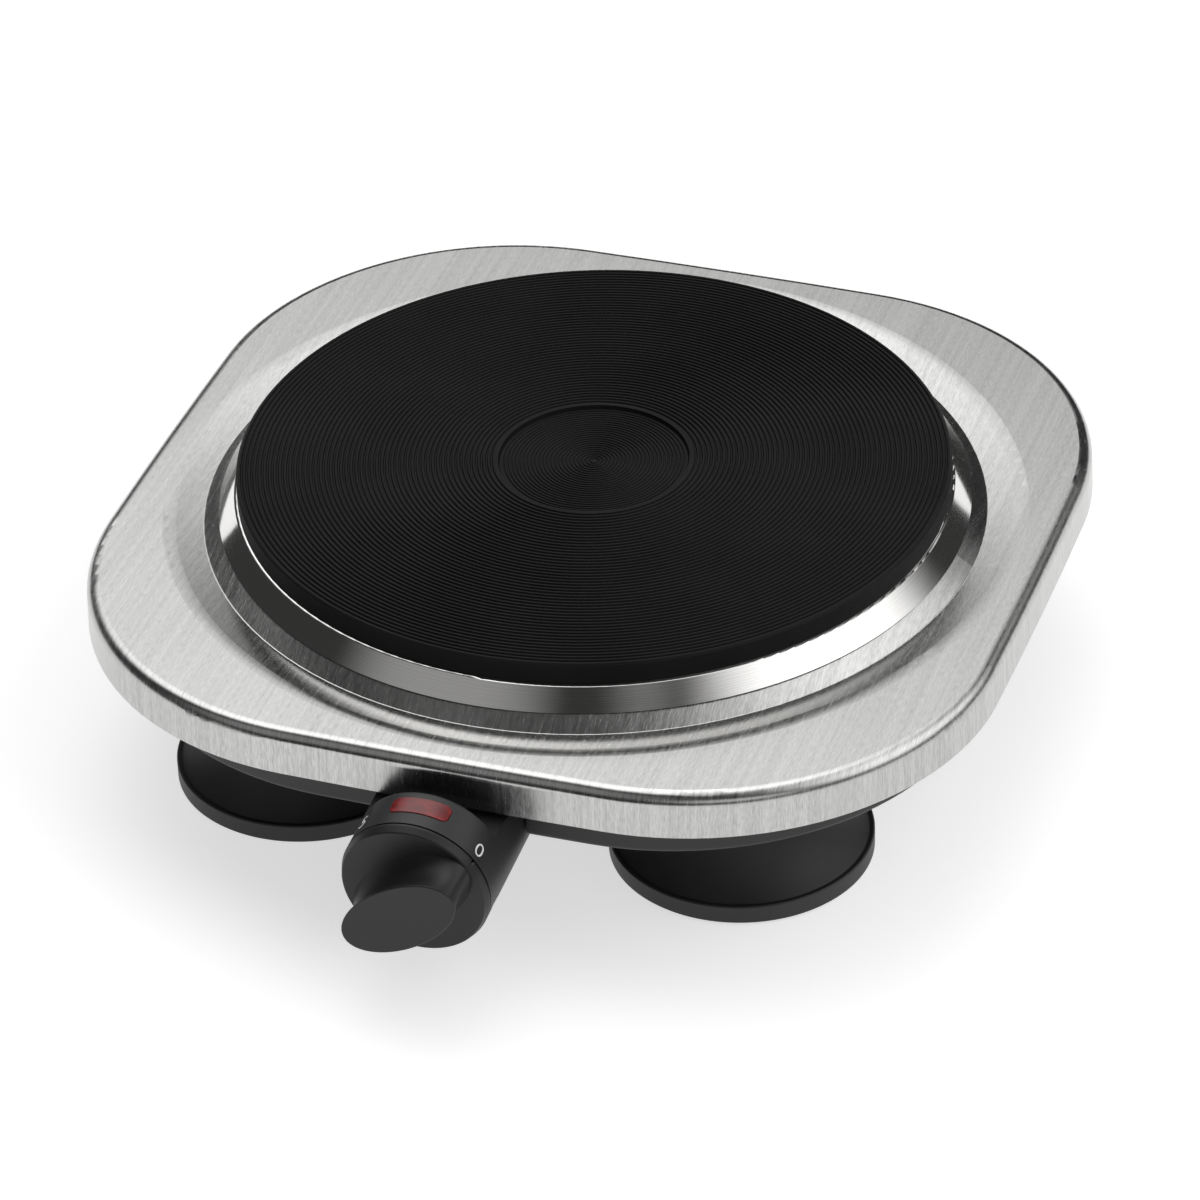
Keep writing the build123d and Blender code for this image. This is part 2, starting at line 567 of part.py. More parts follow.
def control_housing():
    """Round drum with a window for the lens, and a half-round tub that runs back under the base pan."""
    inner = DRUM_RADIUS - DRUM_WALL
    outer_body = fillet(drum_rod(DRUM_RADIUS, -NECK_LENGTH, 0).edges().group_by(Axis.Z)[0], 4.0)
    drum_front = drum_rod(DRUM_RADIUS, -DRUM_DEPTH, 0)
    shoulder = fillet(drum_front.edges().group_by(Axis.Z)[0], 1.2)
    outer = on_drum(outer_body)
    back = on_drum(block((-40, 40), (-40, 40), (-NECK_LENGTH - 5, -DRUM_DEPTH + 1.2)))
    tub = outer & back
    tub -= block((-40, 40), (-200, 0), (NECK_TOP_Z, FAR))
    tub -= block((-40, 40), (-PAN_HALF_WIDTH + 3.0, 0), (BASE_BOTTOM_Z - 0.1, FAR))
    body = tub + on_drum(shoulder)
    cavity = on_drum(drum_rod(inner, -DRUM_DEPTH + 2.0, -FRONT_WALL))
    rear = drum_rod(inner, -NECK_LENGTH + 2.0, -FRONT_WALL - 1)
    rear = on_drum(fillet(rear.edges().group_by(Axis.Z)[0], 2.0))
    under_roof = block((-40, 40), (-200, -PAN_HALF_WIDTH + 5.0), (0, NECK_TOP_Z - 2.0))
    open_part = block((-40, 40), (-PAN_HALF_WIDTH + 4.9, 0), (0, FAR))
    cavity += rear & (under_roof + open_part)
    body -= cavity
    for x, y in HOUSING_SCREWS:
        side = math.copysign(1, x)
        root = side * (DRUM_RADIUS - 1.6)
        ear = block(sorted((root, x)), (y - 5.5, y + 5.5), (BASE_BOTTOM_Z - 3.1, BASE_BOTTOM_Z - 0.1))
        ear += disc(5.5, BASE_BOTTOM_Z - 3.1, BASE_BOTTOM_Z - 0.1, x, y)
        body += ear - disc(SCREW_RADIUS + 0.15, 0, FAR, x, y)
    body -= on_drum(drum_rod(BUSHING_RADIUS + 0.05, -FRONT_WALL - 1, 1))
    body -= on_drum(lens_plan(0.1))
    return body


def indicator_lens():
    """Red lens that follows the drum's round wall, with a retaining lip inside."""
    shell = drum_rod(DRUM_RADIUS + 0.2, -20, 0) - drum_rod(DRUM_RADIUS - DRUM_WALL - 0.2, -21, 1)
    lip = drum_rod(DRUM_RADIUS - DRUM_WALL - 0.05, -20, 0) - drum_rod(DRUM_RADIUS - DRUM_WALL - 1.0, -21, 1)
    wide = lens_plan(0.8) & lip
    return on_drum((lens_plan(0) & shell) + wide)


def neon_lamp():
    """Small glow lamp lying across the drum, under the lens."""
    glass = Pos(0, 12.6, -6.5) * Rot(0, 90, 0) * Cylinder(1.8, 9.0)
    return on_drum(fillet(glass.edges().group_by(Axis.X)[-1], 1.2))


def lamp_leads():
    """The glow lamp's two leads, down to the thermostat's terminals."""
    leads = []
    for side in (-1, 1):
        points = [(side * 4.8, 12.6, -6.5), (side * 9.6, 10.4, -7.0), (side * 11.6, 4.0, -9.0)]
        points += [(side * 11.6, 1.0, -25.0), (side * 7.7, -0.8, -28.5)]
        leads.append(tube(points, 1.2, 0.45))
    return on_drum(group(leads))


def housing_screws():
    low = BASE_BOTTOM_Z - 3.15
    return group(Pos(x, y, low) * screw(SCREW_RADIUS, 7.0, 3.4, 2.0) for x, y in HOUSING_SCREWS)


# ---- heat control ----
def thermostat_body():
    """Ceramic block of the heat control, with the bore for its shaft."""
    body = Pos(0, -3.5, THERMOSTAT_FRONT - THERMOSTAT_DEPTH / 2) * Box(20.0, 17.0, THERMOSTAT_DEPTH)
    body = fillet(body.edges().filter_by(Axis.Z), 1.5)
    rear = THERMOSTAT_FRONT - THERMOSTAT_DEPTH
    cap = drum_rod(4.6, rear - 2.5, rear + 1)
    body += fillet(cap.edges().group_by(Axis.Z)[0], 1.0)
    body -= drum_rod(SHAFT_RADIUS + RUNNING_CLEARANCE, THERMOSTAT_FRONT - 8.3, 1)
    for x in (-7.0, 7.0):
        body -= Pos(x, -4.5, THERMOSTAT_FRONT - THERMOSTAT_DEPTH) * Box(1.0, 6.4, 6.0)
    return on_drum(body)


def thermostat_terminals():
    """Blade terminals at the back of the heat control."""
    blades = []
    for x in (-7.0, 7.0):
        blade = Pos(x, -4.5, THERMOSTAT_FRONT - THERMOSTAT_DEPTH - 2.6) * Box(0.8, 6.3, 11.0)
        hole = Pos(x, -4.5, THERMOSTAT_FRONT - THERMOSTAT_DEPTH - 5.6) * Rot(0, 90, 0) * Cylinder(0.9, 3)
        blades.append(blade - hole)
    return on_drum(group(blades))


def thermostat_bushing():
    """Threaded brass bushing that holds the heat control in the drum's front wall."""
    flange = drum_rod(7.2, THERMOSTAT_FRONT + 0.05, -FRONT_WALL - 0.05)
    neck = drum_rod(BUSHING_RADIUS, -FRONT_WALL - 0.5, 2.3)
    return on_drum(flange + neck - drum_rod(SHAFT_RADIUS + RUNNING_CLEARANCE, -30, 9))


def bushing_nut():
    return on_drum(Pos(0, 0, 0.05) * hex_nut(13.0, 2.0, BUSHING_RADIUS + 0.05))


def thermostat_shaft():
    """Control shaft with a flat, turned by the knob."""
    shaft = drum_rod(SHAFT_RADIUS, THERMOSTAT_FRONT - 8.0, 11.0)
    flat = block((-5, 5), (SHAFT_FLAT, 6), (2.6, 12))
    return on_drum(Rot(0, 0, -DIAL_START) * (shaft - flat))


# ---- knob ----
def ellipse_loop(length, width, height):
    return Pos(0, 0, height) * Ellipse(length, width)


def knob():
    """Knob: round skirt and a scooped wing with a flat oval face, bored for the flatted shaft."""
    rim = KNOB_GAP + KNOB_RIM_HEIGHT
    skirt = drum_rod(DRUM_RADIUS, KNOB_GAP, KNOB_GAP + 0.6)
    cone = loft([Pos(0, 0, KNOB_GAP + 0.6) * Circle(DRUM_RADIUS), Pos(0, 0, rim) * Circle(KNOB_RIM_RADIUS)])
    skirt = fillet((skirt + cone).edges().group_by(Axis.Z)[-1], 0.5)
    sections = [
        ellipse_loop(WING_ROOT_LENGTH, WING_ROOT_WIDTH, rim - 0.4),
        ellipse_loop(WING_LENGTH, WING_WAIST, (rim + KNOB_FACE_HEIGHT) / 2 - 0.3),
        ellipse_loop(WING_LENGTH, WING_WIDTH, KNOB_FACE_HEIGHT),
    ]
    wing = loft(sections)
    wing = fillet(wing.edges().group_by(Axis.Z)[-1], 0.35)
    body = skirt + Rot(0, 0, 90 - DIAL_START) * wing
    body -= drum_rod(KNOB_HOLLOW_RADIUS, KNOB_GAP - 1, KNOB_GAP + 2.2)
    bore = drum_rod(SHAFT_RADIUS + 0.03, 0, 11.2)
    land = block((-5, 5), (SHAFT_FLAT + CLIP_SPACE, 6), (-1, 12))
    bore -= land
    pointer = Rot(0, 0, -DIAL_START) * (Pos(0, DRUM_RADIUS + 0.2, 2) * Rot(0, 0, 45) * Box(1.1, 1.1, 6))
    return on_drum(body - Rot(0, 0, -DIAL_START) * bore - pointer)


def knob_spring_clip():
    """Bowed leaf spring between the shaft's flat and the knob's bore."""
    bow = ThreePointArc((3.4, SHAFT_FLAT + 0.02), (6.8, SHAFT_FLAT + 0.22), (10.4, SHAFT_FLAT + 0.02))
    profile = make_face(offset(bow, 0.35, side=Side.LEFT, closed=True).edges())
    leaf = extrude(Plane(origin=(0, 0, 0), x_dir=(0, 0, 1), z_dir=(-1, 0, 0)) * profile, 1.0, both=True)
    return on_drum(Rot(0, 0, -DIAL_START) * leaf)


# ---- wiring and mains inlet ----
def terminal_block():
    """Ceramic three-way block where the mains wires end."""
    x, y = BLOCK_AT
    low = BASE_BOTTOM_Z + SHEET + 0.02
    body = block((x - 15, x + 15), (y - 7, y + 7), (low, low + 10))
    body = fillet(body.edges().filter_by(Axis.Z), 1.2)
    for i in (-1, 0, 1):
        body -= Pos(x + BLOCK_PITCH * i, y, low + 5) * Rot(90, 0, 0) * Cylinder(1.9, 20)
        body -= disc(1.9, low + 5, low + 11, x + BLOCK_PITCH * i, y)
    return body


def terminal_screws():
    x, y = BLOCK_AT
    top = BASE_BOTTOM_Z + SHEET + 10.0
    screws = []
    for i in (-1, 0, 1):
        head_x = x + BLOCK_PITCH * i
        head = disc(1.75, top - 3.6, top - 0.8, head_x, y)
        screws.append(head - block((head_x - 2, head_x + 2), (y - 0.3, y + 0.3), (top - 1.8, top)))
    return group(screws)


def earth_tag():
    """Brass tag for the earth wire, under its screw."""
    x, y = EARTH_AT
    low = BASE_BOTTOM_Z + SHEET + 0.02
    tag = disc(4.0, low, low + 0.8, x, y) + block((x - 12, x), (y - 3.1, y + 3.1), (low, low + 0.8))
    return tag - disc(1.8, low - 1, low + 2, x, y)


def earth_screw():
    x, y = EARTH_AT
    top = BASE_BOTTOM_Z + SHEET + 0.85
    body = Pos(x, y, top) * Rot(180, 0, 0) * screw(1.6, 7.0, 3.2, 2.0)
    return body


def thermal_cutout():
    """Disc-type overheat cut-out, held against the back cover."""
    x, y = CUTOUT_AT
    top = TOTAL_HEIGHT - PLATE_DEPTH + CHANNEL_LAND - 0.05 - BACK_COVER_THICKNESS - 0.05
    body = disc(8.0, top - 1.4, top, x, y) + disc(6.6, top - 6.0, top, x, y)
    for side in (-1, 1):
        blade_x = x + side * 4.0
        body += block((blade_x - 0.4, blade_x + 0.4), (y - 3.1, y + 3.1), (top - 10.5, top - 5.5))
    return body


def cord_gland():
    """Insulating bushing in the base pan, where the mains cord goes in."""
    x, y = GLAND_AT
    floor = BASE_BOTTOM_Z + SHEET
    flange = disc(8.0, BASE_BOTTOM_Z - 2.0, BASE_BOTTOM_Z - 0.03, x, y)
    flange = fillet(flange.edges().group_by(Axis.Z)[0], 0.8)
    body = flange + disc(5.2, BASE_BOTTOM_Z - 1, floor + 2.2, x, y)
    body += disc(6.8, floor + 0.03, floor + 2.2, x, y)
    return body - disc(CORD_RADIUS, 0, FAR, x, y)


def blade_end(x):
    """Where a lead meets one of the thermostat's blades."""
    back = THERMOSTAT_FRONT - THERMOSTAT_DEPTH
    return DRUM.from_local_coords(Vector(x, -4.5, back - BLADE_REACH - LEAD_RADIUS))


def lead_live():
    """From the terminal block round the left side to the heat control."""
    tab = blade_end(-7.0)
    x, y = BLOCK_AT
    mouth = BASE_BOTTOM_Z + SHEET + 5
    points = [(x - BLOCK_PITCH, y - 7.1, mouth), (x - BLOCK_PITCH, y - 12, mouth)]
    points += [(-52, 84, LEAD_Z), (-95, 36, LEAD_Z)]
    points += [(-95, -36, LEAD_Z), (-56, -86, LEAD_Z), (-20, -92, LEAD_Z), (tab.X, tab.Y + 4, tab.Z + 2)]
    points += [(tab.X, tab.Y, tab.Z)]
    return tube(points, [2.2, 8.0, 18.0, 18.0, 18.0, 12.0, 2.0], LEAD_RADIUS)


def lead_neutral():
    """From the terminal block round the right side to one end of the coil."""
    x, y = BLOCK_AT
    mouth = BASE_BOTTOM_Z + SHEET + 5
    end_x, end_y = TERMINALS[1]
    end_z = TOTAL_HEIGHT - PLATE_DEPTH + CHANNEL_LAND - TERMINAL_TAB_DROP + 3.0
    points = [(x + BLOCK_PITCH, y - 7.1, mouth), (x + BLOCK_PITCH, y - 12, mouth)]
    points += [(64, 72, LEAD_Z + 1), (92, 30, LEAD_Z + 1)]
    points += [(92, -34, LEAD_Z + 1), (54, -72, LEAD_Z + 1)]
    points += [(end_x + 8, end_y, end_z), (end_x + 0.5, end_y, end_z)]
    return tube(points, [2.2, 8.0, 18.0, 18.0, 14.0, 3.0], LEAD_RADIUS)


def lead_switched():
    """From the heat control to the other end of the coil."""
    tab = blade_end(7.0)
    end_x, end_y = TERMINALS[0]
    end_z = TOTAL_HEIGHT - PLATE_DEPTH + CHANNEL_LAND - TERMINAL_TAB_DROP + 3.0
    points = [(tab.X, tab.Y, tab.Z), (tab.X, tab.Y + 7, tab.Z + 3), (0, -78, LEAD_Z), (-3, -62, LEAD_Z)]
    points += [(end_x + 6, end_y, end_z), (end_x + 0.5, end_y, end_z)]
    return tube(points, [3.0, 5.0, 5.0, 2.0], LEAD_RADIUS)


def lead_earth():
    """From the terminal block to the earth tag."""
    x, y = BLOCK_AT
    mouth = BASE_BOTTOM_Z + SHEET + 5
    end_x, end_y = EARTH_AT
    low = BASE_BOTTOM_Z + SHEET + 0.8 + LEAD_RADIUS + 0.1
    points = [(x, y - 7.1, mouth), (x, y - 13, mouth), (18, 80, mouth)]
    points += [(34, 78, low + 1), (end_x - 10, end_y, low)]
    return tube(points, [2.4, 4.0, 6.0], LEAD_RADIUS)


def rating_plate():
    """Blank aluminium plate riveted under the base pan."""
    plate = extrude(RectangleRounded(44, 26, 2), -0.5)
    return Pos(0, 66, BASE_BOTTOM_Z - 0.03) * plate


def main():
    os.makedirs("parts", exist_ok=True)
    write_node("hotplate_casting", hotplate_casting())
    write_node("heating_coil", heating_coil())
    write_node("insulating_bed", insulating_bed())
    write_node("plate_back_cover", plate_back_cover())
    write_node("terminal_bushings", terminal_bushings())
    write_node("coil_terminals", coil_terminals())
    write_node("centre_stud", centre_stud())
    write_node("clamp_bridge", clamp_bridge())
    write_node("clamp_washer", clamp_washer())
    write_node("clamp_nut", clamp_nut())
    write_node("spill_ring", spill_ring())
    write_node("body_cover", body_cover())
    write_node("base_pan", base_pan())
    write_node("cover_brackets", cover_brackets())
    write_node("base_screws", base_screws())
    write_node("heat_shield", heat_shield())
    write_node("shield_spacers", shield_spacers())
    foot, pad = foot_shell(), foot_pad()
    for name, (x, y) in zip(("front_left", "front_right", "rear_left", "rear_right"), FOOT_CENTRES):
        write_node(f"foot_{name}", Pos(x, y, 0) * foot)
        write_node(f"foot_pad_{name}", Pos(x, y, 0) * pad)
    write_node("foot_screws", foot_screws())
    write_node("foot_nuts", foot_nuts())
    write_node("control_housing", control_housing())
    write_node("housing_screws", housing_screws())
    write_node("indicator_lens", indicator_lens())
    write_node("neon_lamp", neon_lamp())
    write_node("lamp_leads", lamp_leads())
    write_node("thermostat_body", thermostat_body())
    write_node("thermostat_terminals", thermostat_terminals())
    write_node("thermostat_bushing", thermostat_bushing())
    write_node("bushing_nut", bushing_nut())
    write_node("thermostat_shaft", thermostat_shaft())
    write_node("knob", knob())
    write_node("knob_spring_clip", knob_spring_clip())
    write_node("terminal_block", terminal_block())
    write_node("terminal_screws", terminal_screws())
    write_node("earth_tag", earth_tag())
    write_node("earth_screw", earth_screw())
    write_node("thermal_cutout", thermal_cutout())
    write_node("cord_gland", cord_gland())
    write_node("lead_live", lead_live())
    write_node("lead_neutral", lead_neutral())
    write_node("lead_switched", lead_switched())
    write_node("lead_earth", lead_earth())
    write_node("rating_plate", rating_plate())


main()
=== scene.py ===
"""Looks of the hot plate burner: camera, studio, materials and the figures on the dial."""
import json
import math

import bpy
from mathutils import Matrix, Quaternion, Vector


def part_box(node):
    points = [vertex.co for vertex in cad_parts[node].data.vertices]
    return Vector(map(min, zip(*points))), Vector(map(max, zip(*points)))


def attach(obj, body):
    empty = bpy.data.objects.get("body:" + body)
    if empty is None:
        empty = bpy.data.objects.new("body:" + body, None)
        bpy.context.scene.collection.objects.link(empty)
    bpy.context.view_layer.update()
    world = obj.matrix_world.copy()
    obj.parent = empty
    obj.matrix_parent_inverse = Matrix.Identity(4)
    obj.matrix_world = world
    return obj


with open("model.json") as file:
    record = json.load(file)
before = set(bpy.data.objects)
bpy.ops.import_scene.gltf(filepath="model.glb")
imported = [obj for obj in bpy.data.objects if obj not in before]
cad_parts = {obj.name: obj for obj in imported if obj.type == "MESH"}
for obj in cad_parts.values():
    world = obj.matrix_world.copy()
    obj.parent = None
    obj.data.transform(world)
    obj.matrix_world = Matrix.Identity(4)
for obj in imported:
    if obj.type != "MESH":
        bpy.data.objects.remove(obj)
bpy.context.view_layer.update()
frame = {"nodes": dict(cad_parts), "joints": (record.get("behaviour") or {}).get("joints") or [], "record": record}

MM = 0.001

# ---------------------------------------------------------------- places read from the frame
PLATE_LOW, PLATE_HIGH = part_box("hotplate_casting")
PLATE_TOP = Vector(((PLATE_LOW.x + PLATE_HIGH.x) / 2, (PLATE_LOW.y + PLATE_HIGH.y) / 2, PLATE_HIGH.z))
KNOB_JOINT = frame["joints"][0]


# ---------------------------------------------------------------- camera
VIEW_AZIMUTH = math.radians(19.82)
VIEW_ELEVATION = math.radians(34.75)
VIEW_DISTANCE = 1.5635
VIEW_TARGET_SHIFT = Vector((0.34, 0.05, -43.8)) * MM    # from the middle of the plate's top
VIEW_ROLL = math.radians(-1.99)
LENS_MM = 183.06
SENSOR_WIDTH_MM = 36.0


def make_camera():
    data = bpy.data.cameras.new("camera")
    data.lens = LENS_MM
    data.sensor_width = SENSOR_WIDTH_MM
    data.clip_start = 0.01
    data.clip_end = 50.0
    camera = bpy.data.objects.new("camera", data)
    bpy.context.scene.collection.objects.link(camera)
    back = Vector((
        math.sin(VIEW_AZIMUTH) * math.cos(VIEW_ELEVATION),
        -math.cos(VIEW_AZIMUTH) * math.cos(VIEW_ELEVATION),
        math.sin(VIEW_ELEVATION),
    ))
    camera.location = PLATE_TOP + VIEW_TARGET_SHIFT + back * VIEW_DISTANCE
    aim = (-back).to_track_quat("-Z", "Y")
    camera.rotation_mode = "QUATERNION"
    camera.rotation_quaternion = aim @ Quaternion((0, 0, 1), VIEW_ROLL)
    bpy.context.scene.camera = camera


# ---------------------------------------------------------------- node helpers
class Nodes:
    """A material's node tree, with one call per node."""

    def __init__(self, name):
        self.material = bpy.data.materials.new(name)
        self.material.use_nodes = True
        self.tree = self.material.node_tree
        self.shader = self.tree.nodes["Principled BSDF"]

    def add(self, kind, values=None, **settings):
        made = self.tree.nodes.new("ShaderNode" + kind)
        for key, value in settings.items():
            setattr(made, key, value)
        for key, value in (values or {}).items():
            self.put(made.inputs[key], value)
        return made

    def put(self, socket, value):
        if isinstance(value, bpy.types.NodeSocket):
            self.tree.links.new(value, socket)
        else:
            socket.default_value = value

    def finish(self, **sockets):
        for key, value in sockets.items():
            self.put(self.shader.inputs[key.replace("_", " ")], value)
        return self.material

    def place(self):
        return self.add("TexCoord").outputs["Object"]

    def stretched(self, place, scale):
        return self.add("Mapping", {"Vector": place, "Scale": scale}).outputs["Vector"]

    def noise(self, place, scale, detail=2.0, roughness=0.5):
        return self.add("TexNoise", {"Vector": place, "Scale": scale, "Detail": detail,
                                     "Roughness": roughness}).outputs["Fac"]

    def voronoi(self, place, scale):
        return self.add("TexVoronoi", {"Vector": place, "Scale": scale}).outputs["Distance"]

    def fit(self, value, low, high, to_low, to_high):
        return self.add("MapRange", {"Value": value, "From Min": low, "From Max": high,
                                     "To Min": to_low, "To Max": to_high}).outputs["Result"]

    def math(self, operation, first, second=0.0):
        return self.add("Math", {0: first, 1: second}, operation=operation).outputs["Value"]

    def vector(self, operation, first, second=(0, 0, 0)):
        made = self.add("VectorMath", {0: first, 1: second}, operation=operation)
        return made.outputs["Vector"]

    def blend(self, factor, first, second):
        """A colour between first and second."""
        made = self.add("Mix", {"Factor": factor}, data_type="RGBA")
        self.put(made.inputs[6], first)
        self.put(made.inputs[7], second)
        return made.outputs[2]

    def blend_value(self, factor, first, second):
        """A number between first and second."""
        made = self.add("Mix", {"Factor": factor}, data_type="FLOAT")
        self.put(made.inputs[2], first)
        self.put(made.inputs[3], second)
        return made.outputs[0]

    def bump(self, height, strength, distance, below=None):
        values = {"Height": height, "Strength": strength, "Distance": distance}
        if below is not None:
            values["Normal"] = below
        return self.add("Bump", values).outputs["Normal"]


def grey(value, alpha=1.0):
    return (value, value, value, alpha)


# ---------------------------------------------------------------- metals
# Mapping scales of the brush marks, per metre: high across the marks, low along them.
FINE_ON_TOP = (4200, 420, 420)
FINE_ON_SIDE = (4200, 4200, 320)
BROAD_ON_TOP = (900, 14, 14)
BROAD_ON_SIDE = (900, 900, 14)
FINE_SHARE = 0.62                     # fine marks against broad streaks
BROAD_SHARE = 0.38


def brushed_steel(name):
    """Stainless sheet brushed from front to back, with the grain running down the skirt."""
    n = Nodes(name)
    place = n.place()
    normal = n.add("NewGeometry").outputs["Normal"]
    sideways = n.math("ABSOLUTE", n.add("SeparateXYZ", {0: normal}).outputs["X"])
    on_side = n.fit(sideways, 0.62, 0.82, 0.0, 1.0)
    fine_top = n.noise(n.stretched(place, FINE_ON_TOP), 1.0, 2.5, 0.6)
    fine_side = n.noise(n.stretched(place, FINE_ON_SIDE), 1.0, 2.5, 0.6)
    fine = n.blend_value(on_side, fine_top, fine_side)
    broad_top = n.noise(n.stretched(place, BROAD_ON_TOP), 1.0, 3.0, 0.55)
    broad_side = n.noise(n.stretched(place, BROAD_ON_SIDE), 1.0, 3.0, 0.55)
    broad = n.blend_value(on_side, broad_top, broad_side)
    cloud = n.noise(place, 22.0, 2.0)
    streak = n.math("ADD", n.math("MULTIPLY", fine, FINE_SHARE),
                    n.math("MULTIPLY", broad, BROAD_SHARE))
    colour = n.blend(n.fit(streak, 0.36, 0.64, 0.0, 1.0),
                     (0.36, 0.36, 0.354, 1), (0.58, 0.58, 0.572, 1))
    colour = n.blend(n.fit(cloud, 0.3, 0.7, 0.0, 0.12), colour, (0.64, 0.64, 0.632, 1))
    rough = n.fit(streak, 0.3, 0.7, 0.17, 0.29)
    across = n.vector("CROSS_PRODUCT", (0, 1, 0.05), normal)
    lift = n.bump(fine, 0.25, 0.02 * MM)
    return n.finish(Base_Color=colour, Metallic=1.0, Roughness=rough, Anisotropic=0.75,
                    Tangent=across, Normal=lift)


def polished_steel(name):
    """Mirror-finished ring, with faint turning lines round the plate."""
    n = Nodes(name)
    place = n.vector("SUBTRACT", n.place(), tuple(PLATE_TOP))
    flat = n.vector("MULTIPLY", place, (1, 1, 0))
    radius = n.add("VectorMath", {0: flat}, operation="LENGTH").outputs["Value"]
    lines = n.add("TexNoise", {"W": n.math("MULTIPLY", radius, 5200.0), "Scale": 1.0,
                               "Detail": 2.0}, noise_dimensions="1D").outputs["Fac"]
    haze = n.noise(place, 60.0, 3.0)
    colour = n.blend(n.fit(lines, 0.3, 0.7, 0.0, 1.0), (0.70, 0.695, 0.68, 1), (0.80, 0.795, 0.78, 1))
    rough = n.fit(n.math("ADD", n.math("MULTIPLY", lines, 0.5), n.math("MULTIPLY", haze, 0.5)),
                  0.3, 0.7, 0.05, 0.10)
    return n.finish(Base_Color=colour, Metallic=1.0, Roughness=rough,
                    Normal=n.bump(lines, 0.04, 0.01 * MM))


def plain_metal(name, dark, light, rough, grain=2600.0, metallic=1.0):
    """Zinc, bright steel, brass or aluminium with a fine rolled grain and a little clouding."""
    n = Nodes(name)
    place = n.place()
    fine = n.noise(n.stretched(place, (1.0, 0.18, 1.0)), grain, 3.0, 0.6)
    cloud = n.noise(place, 140.0, 3.0)
    mix = n.math("ADD", n.math("MULTIPLY", fine, 0.45), n.math("MULTIPLY", cloud, 0.55))
    colour = n.blend(n.fit(mix, 0.35, 0.65, 0.0, 1.0), dark, light)
    return n.finish(Base_Color=colour, Metallic=metallic,
                    Roughness=n.fit(mix, 0.3, 0.7, rough - 0.07, rough + 0.10),
                    Normal=n.bump(fine, 0.25, 0.02 * MM))


def cast_iron(name):
    """Black heat-proof paint on a turned casting: matte, with a fine sandy grain."""
    n = Nodes(name)
    place = n.place()
    grain = n.noise(place, 2400.0, 4.0, 0.65)
    patch = n.noise(place, 45.0, 3.0)
    colour = n.blend(n.fit(patch, 0.3, 0.7, 0.0, 1.0),
                     (0.0068, 0.0068, 0.0069, 1), (0.0108, 0.0108, 0.0108, 1))
    colour = n.blend(n.fit(grain, 0.62, 0.8, 0.0, 0.5), colour, (0.016, 0.016, 0.016, 1))
    rough = n.fit(grain, 0.3, 0.7, 0.46, 0.62)
    return n.finish(Base_Color=colour, Metallic=0.0, Roughness=rough, Specular_IOR_Level=0.12,
                    Normal=n.bump(grain, 0.35, 0.03 * MM))


# ---------------------------------------------------------------- plastics, rubber, ceramic, glass
def moulded_plastic(name, dark, light, rough, grain=3200.0, depth=0.02, level=0.5):
    """Spark-textured moulding: fine pits, a slow change of sheen."""
    n = Nodes(name)
    place = n.place()
    pits = n.noise(place, grain, 3.0, 0.6)
    patch = n.noise(place, 70.0, 3.0)
    colour = n.blend(n.fit(patch, 0.3, 0.7, 0.0, 1.0), dark, light)
    mix = n.math("ADD", n.math("MULTIPLY", pits, 0.6), n.math("MULTIPLY", patch, 0.4))
    return n.finish(Base_Color=colour, Roughness=n.fit(mix, 0.3, 0.7, rough - 0.06, rough + 0.08),
                    Specular_IOR_Level=level, Normal=n.bump(pits, 0.30, depth * MM))


def ceramic(name):
    """Chalky insulating body with pores."""
    n = Nodes(name)
    place = n.place()
    pores = n.voronoi(place, 900.0)
    cloud = n.noise(place, 120.0, 4.0)
    colour = n.blend(n.fit(cloud, 0.3, 0.7, 0.0, 1.0), (0.62, 0.58, 0.50, 1), (0.78, 0.75, 0.68, 1))
    colour = n.blend(n.fit(pores, 0.0, 0.25, 0.6, 0.0), colour, (0.38, 0.34, 0.29, 1))
    return n.finish(Base_Color=colour, Roughness=n.fit(cloud, 0.3, 0.7, 0.72, 0.9),
                    Normal=n.bump(pores, 0.4, 0.1 * MM))


def red_lens(name):
    """Translucent red lamp cover, smooth outside."""
    n = Nodes(name)
    place = n.place()
    flow = n.noise(n.stretched(place, (1.0, 2.0, 1.0)), 260.0, 2.0)
    colour = n.blend(n.fit(flow, 0.3, 0.7, 0.0, 1.0), (0.20, 0.006, 0.008, 1), (0.42, 0.018, 0.018, 1))
    return n.finish(Base_Color=colour, Roughness=n.fit(flow, 0.3, 0.7, 0.14, 0.24), IOR=1.49,
                    Transmission_Weight=0.35, Normal=n.bump(flow, 0.05, 0.05 * MM))


def lamp_glass(name):
    n = Nodes(name)
    place = n.place()
    flow = n.noise(place, 300.0, 2.0)
    colour = n.blend(n.fit(flow, 0.3, 0.7, 0.0, 1.0), (0.95, 0.86, 0.80, 1), (1.0, 0.95, 0.92, 1))
    return n.finish(Base_Color=colour, Roughness=n.fit(flow, 0.3, 0.7, 0.03, 0.09), IOR=1.5,
                    Transmission_Weight=0.9)


def insulated_wire(name, dark, light):
    """Silicone lead: satin, with faint drawing lines."""
    return moulded_plastic(name, dark, light, 0.42, grain=1500.0, depth=0.01)


def floor_material(name):
    n = Nodes(name)
    place = n.place()
    cloud = n.noise(place, 1.6, 3.0)
    grain = n.noise(place, 900.0, 2.0)
    colour = n.blend(n.fit(cloud, 0.3, 0.7, 0.0, 1.0), grey(0.66), grey(0.69))
    return n.finish(Base_Color=colour, Roughness=n.fit(grain, 0.3, 0.7, 0.75, 0.9),
                    Specular_IOR_Level=0.15, Emission_Color=grey(1.0), Emission_Strength=0.62,
                    Normal=n.bump(grain, 0.05, 0.05 * MM))


